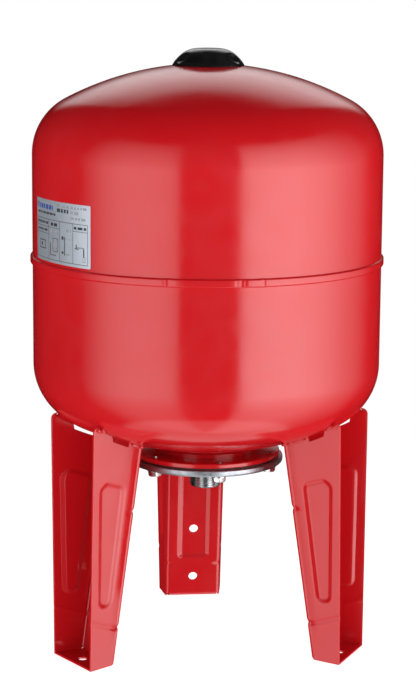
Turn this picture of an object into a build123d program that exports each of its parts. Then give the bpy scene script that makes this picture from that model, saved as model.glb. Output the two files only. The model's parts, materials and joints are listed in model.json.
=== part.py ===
from build123d import *
import math
import os

# Floor-standing expansion vessel, millimetres. The origin is the point on the floor below
# the vessel's axis, +Z is up, the rear leg stands on +Y and the front legs 60 degrees
# to each side of -Y. Azimuths are counted from -Y, positive towards +X.

# Pressure shell
BODY_RADIUS = 182.5
SHELL_WALL = 1.5
TOP_TANGENT_Z = 520.2
BOTTOM_TANGENT_Z = 301.8
SEAM_Z = 411.7
SEAM_GAP = 1.6
SEAM_HEIGHT = 9.6
SEAM_PROUD = 2.3
SEAM_SHOULDER = 1.5

# Dished heads: height of the tangent line, knuckle radius, crown radius, side up or down
TOP_HEAD = (TOP_TANGENT_Z, 64.0, 317.8, 1)
BOTTOM_HEAD = (BOTTOM_TANGENT_Z, 65.8, 345.8, -1)
BAG_TOP_HEAD = (425.0, 66.0, 210.0, 1)
BAG_BOTTOM_HEAD = (330.0, 66.0, 210.0, -1)

# Flanged neck and counter flange
NECK_OUTER = 54.0
NECK_INNER = 50.0
NECK_TOP_Z = 218.0
RING_RADIUS = 78.4
RING_TOP_Z = 207.2
RING_BOTTOM_Z = 202.0
RING_EDGE_RADIUS = 1.2
PLATE_RADIUS = 82.1
PLATE_TOP_Z = 200.8
PLATE_BOTTOM_Z = 193.9
PLATE_EDGE_RADIUS = 3.0
PLATE_TOP_EDGE_RADIUS = 1.0
NECK_WELD_LEG = 4.0

# Flange bolts, M8 x 16, screwed up into the ring
BOLT_COUNT = 6
BOLT_FIRST_AZIMUTH = 5.5
BOLT_CIRCLE_RADIUS = 70.5
BOLT_RADIUS = 4.0
BOLT_CLEARANCE_RADIUS = 4.5
BOLT_LENGTH = 16.0
BOLT_HEAD_FLATS = 13.0
BOLT_HEAD_HEIGHT = 5.3
BOLT_HEAD_CORNER_RADIUS = 7.25
BOLT_TIP_CHAMFER = 0.6
WASHER_RADIUS = 8.0
WASHER_BORE_RADIUS = 4.2
WASHER_THICKNESS = 1.6

# Water connection, G1 pipe thread
NIPPLE_RADIUS = 16.62
NIPPLE_BORE_RADIUS = 12.7
NIPPLE_ROOT_RADIUS = 16.0
NIPPLE_END_Z = 165.8
NIPPLE_CHAMFER = 1.2
NIPPLE_WELD_LEG = 3.0

# Rubber bladder
LIP_RADIUS = 77.0
BLADDER_WALL = 1.8
BLADDER_NECK_RADIUS = 48.0
BLADDER_NECK_TOP_Z = 243.0
BLADDER_RADIUS = 150.0

# Legs: a straight U-channel of sheet, tilted outwards, its web towards the axis
LEG_AZIMUTHS = {"front_left": -60.0, "front_right": 60.0, "rear": 180.0}
LEG_SHEET = 2.0
WEB_FLOOR_R = 136.5
WEB_SLOPE = 0.158
WEB_HALF_WIDTH = 30.4
FLANGE_SPLAY = 0.155
FREE_EDGE_FLOOR_R = 169.0
FREE_EDGE_TOP_R = 167.5
LEG_TOP_Z = 257.3
LEG_CORNER_RADIUS = 6.0
FOLD_RADIUS = 4.0
FOOT_FOLD_RADIUS = 5.0
LEG_SLOTS = {"front_left": (120.0, 143.5), "front_right": (131.0, 148.5), "rear": (131.0, 148.5)}
SLOT_DEPTH = 4.5
FOOT_GAP = 1.0
FOOT_GAP_START_R = 141.0
FOOT_HOLE_R = 156.0
LEG_HOLE_RADIUS = 5.0
WEB_HOLE_HEIGHTS = (24.1, 82.1)

# Pressed recesses of the legs: depth, the flange outline as (r, z), and the web's extent
RECESS_DEPTH = 2.4
FLANGE_RECESS = [(124.0, 188.5), (150.0, 197.0), (158.8, 190.5), (158.8, 65.5), (141.6, 62.5)]
FLANGE_RECESS_CORNER = 4.0
WEB_RECESS_HALF_WIDTH = 17.7
WEB_RECESS_TOP_Z = 196.0
WEB_RECESS_BOTTOM_Z = 47.0
RECESS_START = 12.0
LEG_REACH = 60.0

# Leg welds
LEG_WELD = 2.2
WELD_TO_SLOT = 2.0
OUTER_WELD_START_R = 150.5
OUTER_WELD_END_R = 165.0
WELD_LOW_Z = 150.0

# Gas valve on the top head
HEAD_HOLE_RADIUS = 8.0
BOSS_COLLAR_RADIUS = 12.0
BOSS_TOP_Z = 614.8
BOSS_BOTTOM_Z = 602.0
BOSS_WELD_LEG = 1.8
STEM_HEX_FLATS = 14.0
STEM_HEX_TOP_Z = 618.8
STEM_SHANK_RADIUS = 4.9
STEM_THREAD_RADIUS = 3.85
STEM_TOP_Z = 625.4
STEM_BORE_RADIUS = 2.5
STEM_BORE_FLOOR_Z = 607.0
STEM_PASSAGE_RADIUS = 1.5
SEAL_RING_WIRE = 0.7
CORE_TOP_Z = 624.4
CORE_BOTTOM_Z = 611.2
CORE_CAVITY_RADIUS = 1.95
CORE_CAVITY_FLOOR_Z = 612.4
CORE_CAVITY_ROOF_Z = 620.0
CORE_SEAL_Z = 616.0
CORE_SEAL_HEIGHT = 1.4
CORE_SEAL_DEPTH = 0.35
PIN_RADIUS = 0.6
PIN_CLEARANCE = 0.07
PIN_TOP_Z = 625.0
PIN_COLLAR_RADIUS = 1.6
PIN_COLLAR_Z = 618.2
PIN_COLLAR_HEIGHT = 0.8
PIN_HEAD_RADIUS = 1.7
PIN_HEAD_HEIGHT = 1.4
SPRING_RADIUS = 1.2
SPRING_WIRE_RADIUS = 0.2
SPRING_TURNS = 6

# Dust cap and protective cover
DUST_CAP_RADIUS = 5.1
DUST_CAP_BORE_RADIUS = 3.93
DUST_CAP_BOTTOM_Z = 619.4
DUST_CAP_TOP_Z = 626.9
DUST_CAP_ROOF = 1.0
COVER_TOP_Z = 629.4
COVER_BASE_Z = 611.7
COVER_BASE_RADIUS = 37.4
COVER_FLAT_RADIUS = 20.0
COVER_SHOULDER = (24.2, 627.9)
COVER_MIDDLE = (31.8, 620.5)
COVER_LIP_Z = 612.5
COVER_WALL = 1.8
SKIRT_BORE_RADIUS = 8.16
SKIRT_WALL = 1.6
SKIRT_BOTTOM_Z = 615.2
SCALLOP_AZIMUTHS = (-66.0, 54.0, 174.0)
SCALLOP_RADIUS = 13.0
SCALLOP_CENTRE_R = 38.2
SCALLOP_CENTRE_Z = 627.2

# Rating label on the upper shell
LABEL_AZIMUTHS = (-76.8, -44.6)
LABEL_HEIGHTS = (418.8, 481.2)
LABEL_THICKNESS = 0.2

FAR = 400.0


def lathe(points):
    """A ring or disc turned about Z from a closed (r, z) outline."""
    outline = Polyline(*[(r, 0, z) for r, z in points], close=True)
    return revolve(make_face(outline), Axis.Z)


def turned(*edges):
    """A solid turned about Z from edges that close a face in the XZ plane."""
    return revolve(make_face(Curve() + list(edges)), Axis.Z)


def disc(radius, low, high):
    """An upright cylinder between two heights."""
    return Pos(0, 0, (low + high) / 2) * Cylinder(radius, high - low)


def tube(outer, inner, low, high):
    """An upright tube between two heights."""
    return disc(outer, low, high) - disc(inner, low - 1, high + 1)


def hexagon(flats, low, high):
    """An upright hexagonal prism between two heights."""
    return Pos(0, 0, low) * extrude(RegularPolygon(flats / math.sqrt(3), 6), high - low)


def around(azimuth, shape):
    """Turns a shape made towards +Y to an azimuth counted from -Y."""
    return Rot(0, 0, azimuth - 180) * shape


def head_outline(radius, head, inset=0.0):
    """Knuckle and crown arcs of a dished head, and the height of its apex."""
    tangent_z, knuckle, crown, side = head
    centre_r = radius - knuckle
    crown_z = tangent_z - side * math.sqrt((crown - knuckle) ** 2 - centre_r**2)
    join = math.asin(centre_r / (crown - knuckle))
    swing = math.pi / 2 - join
    knuckle_in = knuckle - inset
    crown_in = crown - inset

    def on_knuckle(angle):
        return (centre_r + knuckle_in * math.cos(angle), 0, tangent_z + side * knuckle_in * math.sin(angle))

    def on_crown(angle):
        return (crown_in * math.sin(angle), 0, crown_z + side * crown_in * math.cos(angle))

    knuckle_arc = ThreePointArc(on_knuckle(0), on_knuckle(swing / 2), on_knuckle(swing))
    crown_arc = ThreePointArc(on_knuckle(swing), on_crown(join / 2), on_crown(0))
    return [knuckle_arc, crown_arc], crown_z + side * crown_in


def dished_solid(radius, head, rim_z, inset=0.0):
    """A solid cup: a cylinder from rim_z to the head's tangent line, closed by the head."""
    arcs, apex = head_outline(radius, head, inset)
    wall = Line((radius - inset, 0, rim_z), (radius - inset, 0, head[0]))
    axis = Line((0, 0, apex), (0, 0, rim_z))
    rim = Line((0, 0, rim_z), (radius - inset, 0, rim_z))
    return turned(wall, *arcs, axis, rim)


def top_solid(inset=0.0):
    """Everything inside the upper half's outer surface, or inside it by an inset."""
    return dished_solid(BODY_RADIUS, TOP_HEAD, SEAM_Z + SEAM_GAP / 2, inset)


def bottom_solid(inset=0.0):
    """Everything inside the lower half's outer surface, or inside it by an inset."""
    return dished_solid(BODY_RADIUS, BOTTOM_HEAD, SEAM_Z - SEAM_GAP / 2, inset)


def make_shells():
    """The two drawn halves of the pressure shell."""
    upper = top_solid() - top_solid(SHELL_WALL)
    upper -= disc(HEAD_HOLE_RADIUS, TOP_TANGENT_Z, FAR * 2)
    lower = bottom_solid() - bottom_solid(SHELL_WALL)
    lower -= disc(NECK_OUTER, 0, BOTTOM_TANGENT_Z)
    return {"upper_shell": upper, "lower_shell": lower}


def make_girth_weld():
    """The raised joint between the halves, with its root in the gap."""
    low = SEAM_Z - SEAM_HEIGHT / 2
    high = SEAM_Z + SEAM_HEIGHT / 2
    proud = BODY_RADIUS + SEAM_PROUD
    slope = SEAM_SHOULDER
    outline = [
        (BODY_RADIUS - SHELL_WALL, SEAM_Z - SEAM_GAP / 2),
        (BODY_RADIUS, SEAM_Z - SEAM_GAP / 2),
        (BODY_RADIUS, low),
        (proud - slope / 2, low + slope / 2),
        (proud, low + slope * 1.4),
        (proud, high - slope * 1.4),
        (proud - slope / 2, high - slope / 2),
        (BODY_RADIUS, high),
        (BODY_RADIUS, SEAM_Z + SEAM_GAP / 2),
        (BODY_RADIUS - SHELL_WALL, SEAM_Z + SEAM_GAP / 2),
    ]
    return {"girth_weld": lathe(outline)}


def bolt_places(shape):
    """Copies of a shape made on the +Y side, one for each flange bolt."""
    step = 360.0 / BOLT_COUNT
    return [around(BOLT_FIRST_AZIMUTH + i * step, shape) for i in range(BOLT_COUNT)]


def on_bolt_circle(shape):
    """Moves a shape from the axis out to the bolt circle on +Y."""
    return Pos(0, BOLT_CIRCLE_RADIUS, 0) * shape


def make_neck():
    """The neck with its flange ring, and its weld to the lower head."""
    flange = tube(RING_RADIUS, NECK_INNER, RING_BOTTOM_Z, RING_TOP_Z)
    rims = flange.edges().filter_by(GeomType.CIRCLE).filter_by(lambda e: e.radius > NECK_OUTER)
    flange = fillet(rims, RING_EDGE_RADIUS)
    flange += tube(NECK_OUTER, NECK_INNER, RING_TOP_Z, NECK_TOP_Z)
    for hole in bolt_places(on_bolt_circle(disc(BOLT_RADIUS, RING_BOTTOM_Z - 1, RING_TOP_Z + 1))):
        flange -= hole
    apex = head_outline(BODY_RADIUS, BOTTOM_HEAD)[1]
    low = apex + 0.5
    outline = [
        (NECK_OUTER, low),
        (NECK_OUTER + NECK_WELD_LEG, low + NECK_WELD_LEG - 0.6),
        (NECK_OUTER + NECK_WELD_LEG, low + 3 * NECK_WELD_LEG),
        (NECK_OUTER, low + 3 * NECK_WELD_LEG),
    ]
    weld = lathe(outline) - bottom_solid()
    return {"vessel_flange": flange, "neck_weld": weld}


def make_counter_flange():
    """The loose closing plate with its water connection."""
    plate = disc(PLATE_RADIUS, PLATE_BOTTOM_Z, PLATE_TOP_Z)
    rims = plate.edges().filter_by(GeomType.CIRCLE).sort_by(Axis.Z)
    plate = fillet(rims[0], PLATE_EDGE_RADIUS)
    plate = fillet(plate.edges().filter_by(GeomType.CIRCLE).sort_by(Axis.Z)[-1], PLATE_TOP_EDGE_RADIUS)
    plate -= disc(NIPPLE_ROOT_RADIUS, PLATE_BOTTOM_Z - 1, PLATE_TOP_Z + 1)
    clearance = disc(BOLT_CLEARANCE_RADIUS, PLATE_BOTTOM_Z - 1, PLATE_TOP_Z + 1)
    for hole in bolt_places(on_bolt_circle(clearance)):
        plate -= hole
    thread_top = PLATE_BOTTOM_Z - NIPPLE_WELD_LEG
    thread = disc(NIPPLE_RADIUS, NIPPLE_END_Z, thread_top)
    rims = thread.edges().filter_by(GeomType.CIRCLE).sort_by(Axis.Z)
    nipple = chamfer(rims[0], NIPPLE_CHAMFER)
    nipple += disc(NIPPLE_ROOT_RADIUS, thread_top, PLATE_TOP_Z)
    nipple -= disc(NIPPLE_BORE_RADIUS, NIPPLE_END_Z - 1, PLATE_TOP_Z + 1)
    weld = lathe(
        [
            (NIPPLE_ROOT_RADIUS, PLATE_BOTTOM_Z),
            (NIPPLE_ROOT_RADIUS, thread_top),
            (NIPPLE_RADIUS, thread_top),
            (NIPPLE_RADIUS + NIPPLE_WELD_LEG * 0.4, PLATE_BOTTOM_Z - NIPPLE_WELD_LEG * 0.5),
            (NIPPLE_RADIUS + NIPPLE_WELD_LEG, PLATE_BOTTOM_Z),
        ]
    )
    return {"counter_flange": plate, "water_nipple": nipple, "nipple_weld": weld}


def make_flange_bolts():
    """Hexagon bolts put in from below, each with a washer."""
    head_top = PLATE_BOTTOM_Z - WASHER_THICKNESS
    head = hexagon(BOLT_HEAD_FLATS, head_top - BOLT_HEAD_HEIGHT, head_top)
    head &= disc(BOLT_HEAD_CORNER_RADIUS, head_top - BOLT_HEAD_HEIGHT, head_top)
    shank = disc(BOLT_RADIUS, head_top, head_top + BOLT_LENGTH)
    shank = chamfer(shank.edges().filter_by(GeomType.CIRCLE).sort_by(Axis.Z)[-1], BOLT_TIP_CHAMFER)
    washer = tube(WASHER_RADIUS, WASHER_BORE_RADIUS, head_top, PLATE_BOTTOM_Z)
    return {
        "flange_bolts": Compound(children=bolt_places(on_bolt_circle(head + shank))),
        "flange_washers": Compound(children=bolt_places(on_bolt_circle(washer))),
    }


def bag_solid(inset):
    """The bag and its neck as a solid, inside the rubber's outer surface by an inset."""
    middle_z = (BAG_TOP_HEAD[0] + BAG_BOTTOM_HEAD[0]) / 2
    bag = dished_solid(BLADDER_RADIUS, BAG_TOP_HEAD, middle_z, inset)
    bag += dished_solid(BLADDER_RADIUS, BAG_BOTTOM_HEAD, middle_z, inset)
    return bag + disc(BLADDER_NECK_RADIUS - inset, PLATE_TOP_Z, BLADDER_NECK_TOP_Z + inset)


def make_bladder():
    """The rubber bag, its neck and the lip that the flanges clamp."""
    bag = bag_solid(0.0)
    bag += disc(LIP_RADIUS, PLATE_TOP_Z, RING_BOTTOM_Z)
    bag -= bag_solid(BLADDER_WALL)
    for hole in bolt_places(on_bolt_circle(disc(BOLT_CLEARANCE_RADIUS, PLATE_TOP_Z - 1, RING_BOTTOM_Z + 1))):
        bag -= hole
    return {"bladder": bag}


def channel_core(inset, fold_radius):
    """The space inside the leg's channel, inset from its outside, as a long tilted prism."""
    tilt = math.atan(WEB_SLOPE)
    deep = 110.0
    side_shift = inset * math.hypot(1, FLANGE_SPLAY)
    near = WEB_HALF_WIDTH + FLANGE_SPLAY * inset - side_shift
    far = WEB_HALF_WIDTH + FLANGE_SPLAY * deep - side_shift
    outline = Polyline((-far, deep), (-near, inset), (near, inset), (far, deep), close=True)
    section = make_face(outline)
    if fold_radius:
        corners = section.vertices().filter_by(lambda v: v.Y < inset + 1)
        section = fillet(corners, fold_radius)
    prism = extrude(section, 2 * FAR, both=True)
    return Pos(0, WEB_FLOOR_R, 0) * Rot(math.degrees(tilt), 0, 0) * prism


def side_prism(points, low_x, high_x, corner=0.0):
    """A prism along X with a (y, z) outline, its corners rounded if a radius is given."""
    face = make_face(Polyline(*[(low_x, y, z) for y, z in points], close=True))
    if corner:
        face = fillet(face.vertices(), corner)
    return extrude(face, high_x - low_x, dir=(1, 0, 0))


def grown(points, margin):
    """An outline scaled about its middle so that it is larger by a margin all round."""
    mid_y = (min(p[0] for p in points) + max(p[0] for p in points)) / 2
    mid_z = (min(p[1] for p in points) + max(p[1] for p in points)) / 2
    grow_y = 1 + margin / (max(p[0] for p in points) - mid_y)
    grow_z = 1 + margin / (max(p[1] for p in points) - mid_z)
    return [(mid_y + (y - mid_y) * grow_y, mid_z + (z - mid_z) * grow_z) for y, z in points]


def leg_profile(inset, edge_r):
    """Side view of a leg as a prism along X, its web and floor faces moved in by an inset."""
    web_r = WEB_FLOOR_R + inset * math.hypot(1, WEB_SLOPE)
    outline = [
        (web_r - WEB_SLOPE * inset, inset),
        (web_r - WEB_SLOPE * LEG_TOP_Z, LEG_TOP_Z),
        (edge_r + FREE_EDGE_TOP_R - FREE_EDGE_FLOOR_R, LEG_TOP_Z),
        (edge_r, inset),
    ]
    face = make_face(Polyline(*[(-FAR, y, z) for y, z in outline], close=True))
    by_height = face.vertices().sort_by(Axis.Z)
    fold = by_height[:2].sort_by(Axis.Y)[0]
    face = fillet(fold, FOOT_FOLD_RADIUS - inset)
    corner = face.vertices().sort_by(Axis.Z)[-2:].sort_by(Axis.Y)[-1]
    face = fillet(corner, LEG_CORNER_RADIUS)
    return extrude(face, 2 * FAR, dir=(1, 0, 0))


def web_normal_hole(height):
    """A round cutter through the web at a height, square to the tilted web."""
    tilt = math.degrees(math.atan(WEB_SLOPE))
    hole = Rot(tilt - 90, 0, 0) * Cylinder(LEG_HOLE_RADIUS, 30)
    return Pos(0, WEB_FLOOR_R - WEB_SLOPE * height, height) * hole


def pressed_recesses(channel):
    """Presses the two flange recesses and the web recess into a channel."""
    behind = channel_core(LEG_SHEET, 0) - channel_core(LEG_SHEET + RECESS_DEPTH, 0)
    beyond = channel_core(RECESS_DEPTH, 0)
    for low_x, high_x in ((-LEG_REACH, -RECESS_START), (RECESS_START, LEG_REACH)):
        pad_outline = grown(FLANGE_RECESS, LEG_SHEET)
        channel += side_prism(pad_outline, low_x, high_x, FLANGE_RECESS_CORNER + LEG_SHEET) & behind
        channel -= side_prism(FLANGE_RECESS, low_x, high_x, FLANGE_RECESS_CORNER) - beyond
    mid_z = (WEB_RECESS_TOP_Z + WEB_RECESS_BOTTOM_Z) / 2
    height = WEB_RECESS_TOP_Z - WEB_RECESS_BOTTOM_Z
    width = 2 * WEB_RECESS_HALF_WIDTH
    at_web = Pos(0, WEB_FLOOR_R - WEB_SLOPE * mid_z, mid_z)
    pad = at_web * Box(width + 2 * LEG_SHEET, LEG_REACH, height + 2 * LEG_SHEET)
    pocket = at_web * Box(width, LEG_REACH, height)
    channel += pad & behind
    channel -= pocket - beyond
    return channel


def radial_band(inner_r, outer_r, low, high):
    """A block across the leg, between two radii and two heights, for a leg on +Y."""
    outline = [(inner_r, low), (outer_r, low), (outer_r, high), (inner_r, high)]
    return side_prism(outline, -LEG_REACH, LEG_REACH)


def make_leg(slot):
    """One leg standing on +Y, its foot folded outwards, trimmed to the lower head."""
    leg = channel_core(0, FOLD_RADIUS) & leg_profile(0, FREE_EDGE_FLOOR_R)
    leg -= channel_core(LEG_SHEET, FOLD_RADIUS - LEG_SHEET) & leg_profile(LEG_SHEET, FAR)
    leg = pressed_recesses(leg)
    leg -= bottom_solid()
    leg -= bottom_solid(-SLOT_DEPTH) & radial_band(*slot, 0, FAR)
    gap = channel_core(LEG_SHEET, 0) - channel_core(LEG_SHEET + FOOT_GAP, 0)
    leg -= gap & radial_band(FOOT_GAP_START_R, FAR, -1, LEG_SHEET)
    leg -= Pos(0, FOOT_HOLE_R, 0) * Cylinder(LEG_HOLE_RADIUS, 4 * LEG_SHEET)
    for height in WEB_HOLE_HEIGHTS:
        leg -= web_normal_hole(height)
    return leg


def make_leg_welds(slot):
    """Weld runs between one leg's top edges and the lower head, inside and outside the slot."""
    layer = bottom_solid(-LEG_WELD) - bottom_solid()
    outside = channel_core(-LEG_WELD, 0) - channel_core(0, FOLD_RADIUS)
    runs = layer & outside
    inner = radial_band(NECK_OUTER, slot[0] - WELD_TO_SLOT, WELD_LOW_Z, LEG_TOP_Z)
    outer = radial_band(OUTER_WELD_START_R, OUTER_WELD_END_R, WELD_LOW_Z, LEG_TOP_Z - 1)
    return (runs & inner) + (runs & outer)


def make_legs():
    """Three legs and their welds."""
    made = {}
    for name, azimuth in LEG_AZIMUTHS.items():
        made["leg_" + name] = around(azimuth, make_leg(LEG_SLOTS[name]))
        made["leg_welds_" + name] = around(azimuth, make_leg_welds(LEG_SLOTS[name]))
    return made


def make_valve():
    """The gas valve: boss, stem, core and seals."""
    apex = head_outline(BODY_RADIUS, TOP_HEAD)[1]
    boss = disc(HEAD_HOLE_RADIUS, BOSS_BOTTOM_Z, BOSS_TOP_Z)
    boss += disc(BOSS_COLLAR_RADIUS, apex, BOSS_TOP_Z)
    boss -= disc(STEM_SHANK_RADIUS, BOSS_BOTTOM_Z - 1, BOSS_TOP_Z + 1)
    groove_outer = STEM_SHANK_RADIUS + 2 * SEAL_RING_WIRE
    boss -= tube(groove_outer, STEM_SHANK_RADIUS, BOSS_TOP_Z - 2 * SEAL_RING_WIRE, FAR * 2)
    weld = lathe(
        [
            (BOSS_COLLAR_RADIUS, apex - 1),
            (BOSS_COLLAR_RADIUS + BOSS_WELD_LEG, apex - 1),
            (BOSS_COLLAR_RADIUS + BOSS_WELD_LEG, apex),
            (BOSS_COLLAR_RADIUS + BOSS_WELD_LEG * 0.4, apex + BOSS_WELD_LEG * 0.4),
            (BOSS_COLLAR_RADIUS, BOSS_TOP_Z - 0.2),
        ]
    )
    weld -= top_solid()
    stem = disc(STEM_SHANK_RADIUS, BOSS_BOTTOM_Z, BOSS_TOP_Z)
    stem += hexagon(STEM_HEX_FLATS, BOSS_TOP_Z, STEM_HEX_TOP_Z)
    stem += disc(STEM_THREAD_RADIUS, STEM_HEX_TOP_Z, STEM_TOP_Z)
    stem -= disc(STEM_BORE_RADIUS, STEM_BORE_FLOOR_Z, STEM_TOP_Z + 1)
    stem -= disc(STEM_PASSAGE_RADIUS, BOSS_BOTTOM_Z - 1, STEM_TOP_Z)
    ring_centre = (STEM_SHANK_RADIUS + SEAL_RING_WIRE, 0, BOSS_TOP_Z - SEAL_RING_WIRE)
    ring_section = Plane(ring_centre, x_dir=(1, 0, 0), z_dir=(0, 1, 0)) * Circle(SEAL_RING_WIRE)
    return {
        "valve_boss": boss,
        "boss_weld": weld,
        "valve_stem": stem,
        "valve_stem_seal": revolve(ring_section, Axis.Z),
    }


def make_valve_core():
    """The valve core that screws into the stem, with its sprung pin."""
    barrel = disc(STEM_BORE_RADIUS, CORE_BOTTOM_Z, CORE_TOP_Z)
    barrel -= disc(PIN_RADIUS + PIN_CLEARANCE, CORE_BOTTOM_Z - 1, CORE_TOP_Z + 1)
    barrel -= disc(CORE_CAVITY_RADIUS, CORE_CAVITY_FLOOR_Z, CORE_CAVITY_ROOF_Z)
    seal_top = CORE_SEAL_Z + CORE_SEAL_HEIGHT
    seal = tube(STEM_BORE_RADIUS, STEM_BORE_RADIUS - CORE_SEAL_DEPTH, CORE_SEAL_Z, seal_top)
    barrel -= seal
    head_top = CORE_BOTTOM_Z - PIN_CLEARANCE
    pin = disc(PIN_RADIUS, head_top - PIN_HEAD_HEIGHT, PIN_TOP_Z)
    pin += disc(PIN_HEAD_RADIUS, head_top - PIN_HEAD_HEIGHT, head_top)
    pin += disc(PIN_COLLAR_RADIUS, PIN_COLLAR_Z, PIN_COLLAR_Z + PIN_COLLAR_HEIGHT)
    spring_low = CORE_CAVITY_FLOOR_Z + SPRING_WIRE_RADIUS + 0.05
    spring_high = PIN_COLLAR_Z - SPRING_WIRE_RADIUS - 0.05
    height = spring_high - spring_low
    path = Helix(height / SPRING_TURNS, height, SPRING_RADIUS)
    spring = sweep(Plane(path @ 0, z_dir=path % 0) * Circle(SPRING_WIRE_RADIUS), path)
    return {
        "valve_core_barrel": barrel,
        "valve_core_seal": seal,
        "valve_core_pin": pin,
        "valve_core_spring": Pos(0, 0, spring_low) * spring,
    }


def make_dust_cap():
    """The small cap screwed on the stem."""
    cap = disc(DUST_CAP_RADIUS, DUST_CAP_BOTTOM_Z, DUST_CAP_TOP_Z)
    cap = fillet(cap.edges().filter_by(GeomType.CIRCLE).sort_by(Axis.Z)[-1], DUST_CAP_ROOF)
    cap -= disc(DUST_CAP_BORE_RADIUS, DUST_CAP_BOTTOM_Z - 1, DUST_CAP_TOP_Z - DUST_CAP_ROOF)
    return {"valve_dust_cap": cap}


def cover_bowl(inset):
    """The cover's bowl, solid, with its outside moved in by an inset."""
    drop = inset * 0.6
    top = COVER_TOP_Z - inset
    shoulder = (COVER_SHOULDER[0] - inset * 0.5, 0, COVER_SHOULDER[1] - inset * 0.9)
    middle = (COVER_MIDDLE[0] - inset * 0.8, 0, COVER_MIDDLE[1] - drop)
    lip = (COVER_BASE_RADIUS - inset, 0, COVER_LIP_Z)
    flat = (COVER_FLAT_RADIUS - inset * 0.2, 0, top)
    rim = (COVER_BASE_RADIUS - inset, 0, COVER_BASE_Z - (1 if inset else 0))
    foot = (0, 0, rim[2])
    round_over = TangentArc(flat, shoulder, tangent=(1, 0, 0))
    side = ThreePointArc(shoulder, middle, lip)
    roof = Line((0, 0, top), flat)
    wall = Line(lip, rim)
    floor = Line(rim, foot)
    axis = Line(foot, (0, 0, top))
    return turned(roof, round_over, side, wall, floor, axis)


def make_cover():
    """The black protective cover with its finger scallops and inner skirt."""
    bowl = cover_bowl(0.0)
    hollow = cover_bowl(COVER_WALL)
    for azimuth in SCALLOP_AZIMUTHS:
        place = Pos(0, SCALLOP_CENTRE_R, SCALLOP_CENTRE_Z)
        bowl -= around(azimuth, place * Sphere(SCALLOP_RADIUS))
        hollow -= around(azimuth, place * Sphere(SCALLOP_RADIUS + COVER_WALL))
    roof = COVER_TOP_Z - COVER_WALL
    skirt = tube(SKIRT_BORE_RADIUS + SKIRT_WALL, SKIRT_BORE_RADIUS, SKIRT_BOTTOM_Z, roof)
    return {"valve_cover": bowl - hollow + skirt}


def make_label():
    """The adhesive label, a thin patch on the upper shell."""
    low, high = LABEL_HEIGHTS
    start, end = LABEL_AZIMUTHS
    section = [
        (BODY_RADIUS, low),
        (BODY_RADIUS + LABEL_THICKNESS, low),
        (BODY_RADIUS + LABEL_THICKNESS, high),
        (BODY_RADIUS, high),
    ]
    face = make_face(Polyline(*[(r, 0, z) for r, z in section], close=True))
    patch = revolve(face, Axis.Z, end - start)
    return {"rating_label": Rot(0, 0, start - 90) * patch}


def main():
    """Makes every sub-part and writes one STEP file for each."""
    made = {}
    makers = (
        make_shells,
        make_girth_weld,
        make_neck,
        make_counter_flange,
        make_flange_bolts,
        make_bladder,
        make_legs,
        make_valve,
        make_valve_core,
        make_dust_cap,
        make_cover,
        make_label,
    )
    for maker in makers:
        made.update(maker())
    os.makedirs("parts", exist_ok=True)
    for name, shape in made.items():
        export_step(shape, "parts/" + name + ".step")


main()
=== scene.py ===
import json
import math
import random

import bmesh
import bpy
import numpy as np
from mathutils import Matrix, Vector, noise


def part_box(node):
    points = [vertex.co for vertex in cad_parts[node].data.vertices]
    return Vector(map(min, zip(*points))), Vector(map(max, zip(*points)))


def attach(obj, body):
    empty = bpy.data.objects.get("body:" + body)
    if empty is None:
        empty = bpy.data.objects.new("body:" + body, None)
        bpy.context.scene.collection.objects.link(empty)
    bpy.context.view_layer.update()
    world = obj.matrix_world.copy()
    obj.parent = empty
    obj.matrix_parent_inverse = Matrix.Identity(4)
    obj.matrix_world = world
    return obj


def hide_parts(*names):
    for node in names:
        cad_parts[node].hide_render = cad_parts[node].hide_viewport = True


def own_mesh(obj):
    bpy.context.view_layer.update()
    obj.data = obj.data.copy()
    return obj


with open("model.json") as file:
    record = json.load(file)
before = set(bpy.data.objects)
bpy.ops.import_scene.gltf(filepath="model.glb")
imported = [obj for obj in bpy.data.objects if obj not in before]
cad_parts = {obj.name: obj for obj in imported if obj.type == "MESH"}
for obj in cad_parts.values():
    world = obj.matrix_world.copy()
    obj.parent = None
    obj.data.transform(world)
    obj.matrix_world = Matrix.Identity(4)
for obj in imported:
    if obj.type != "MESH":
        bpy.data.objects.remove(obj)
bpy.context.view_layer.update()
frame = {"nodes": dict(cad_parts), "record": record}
NODES = frame["nodes"]

MM = 0.001


def box_mm(node):
    """A node's lowest and highest corners in millimetres."""
    low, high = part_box(node)
    return low / MM, high / MM


def node_radius(node):
    """Largest distance from the axis of a turned node, in millimetres."""
    low, high = box_mm(node)
    return (high.x - low.x) / 2


# Heights, radii and thicknesses, in millimetres
SHELL_R = node_radius("upper_shell")
SHELL_WALL = 1.5
SEAM_TOP = box_mm("upper_shell")[0].z
SEAM_BOTTOM = box_mm("lower_shell")[1].z
BEAD_R = node_radius("girth_weld")
BEAD_LOW = box_mm("girth_weld")[0].z
BEAD_HIGH = box_mm("girth_weld")[1].z
TOP_HOLE_R = 8.0
NECK_R = 54.0
PLATE_BOTTOM = box_mm("counter_flange")[0].z
NIPPLE_END = box_mm("water_nipple")[0].z
NIPPLE_TOP = box_mm("water_nipple")[1].z
NIPPLE_R = 16.62
NIPPLE_BORE = 12.7
THREAD_PITCH = 2.309
THREAD_DEPTH = 1.479
NIPPLE_WELD = 4.2
COVER_TOP = box_mm("valve_cover")[1].z
COVER_BASE = box_mm("valve_cover")[0].z
COVER_R = 37.4
COVER_WALL = 1.8
COVER_SKIRT = (8.16, 9.76, 615.2)
CAP_TOP = box_mm("valve_dust_cap")[1].z
CAP_BASE = box_mm("valve_dust_cap")[0].z
CAP_R = node_radius("valve_dust_cap")
CAP_BORE = 3.93
SPRING_WIRE = 0.2
SPRING_TURNS = 6

# Dished heads: tangent height, knuckle radius, crown radius, side up or down
TOP_HEAD = (520.2, 64.0, 317.8, 1)
BOTTOM_HEAD = (301.8, 65.8, 345.8, -1)

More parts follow.
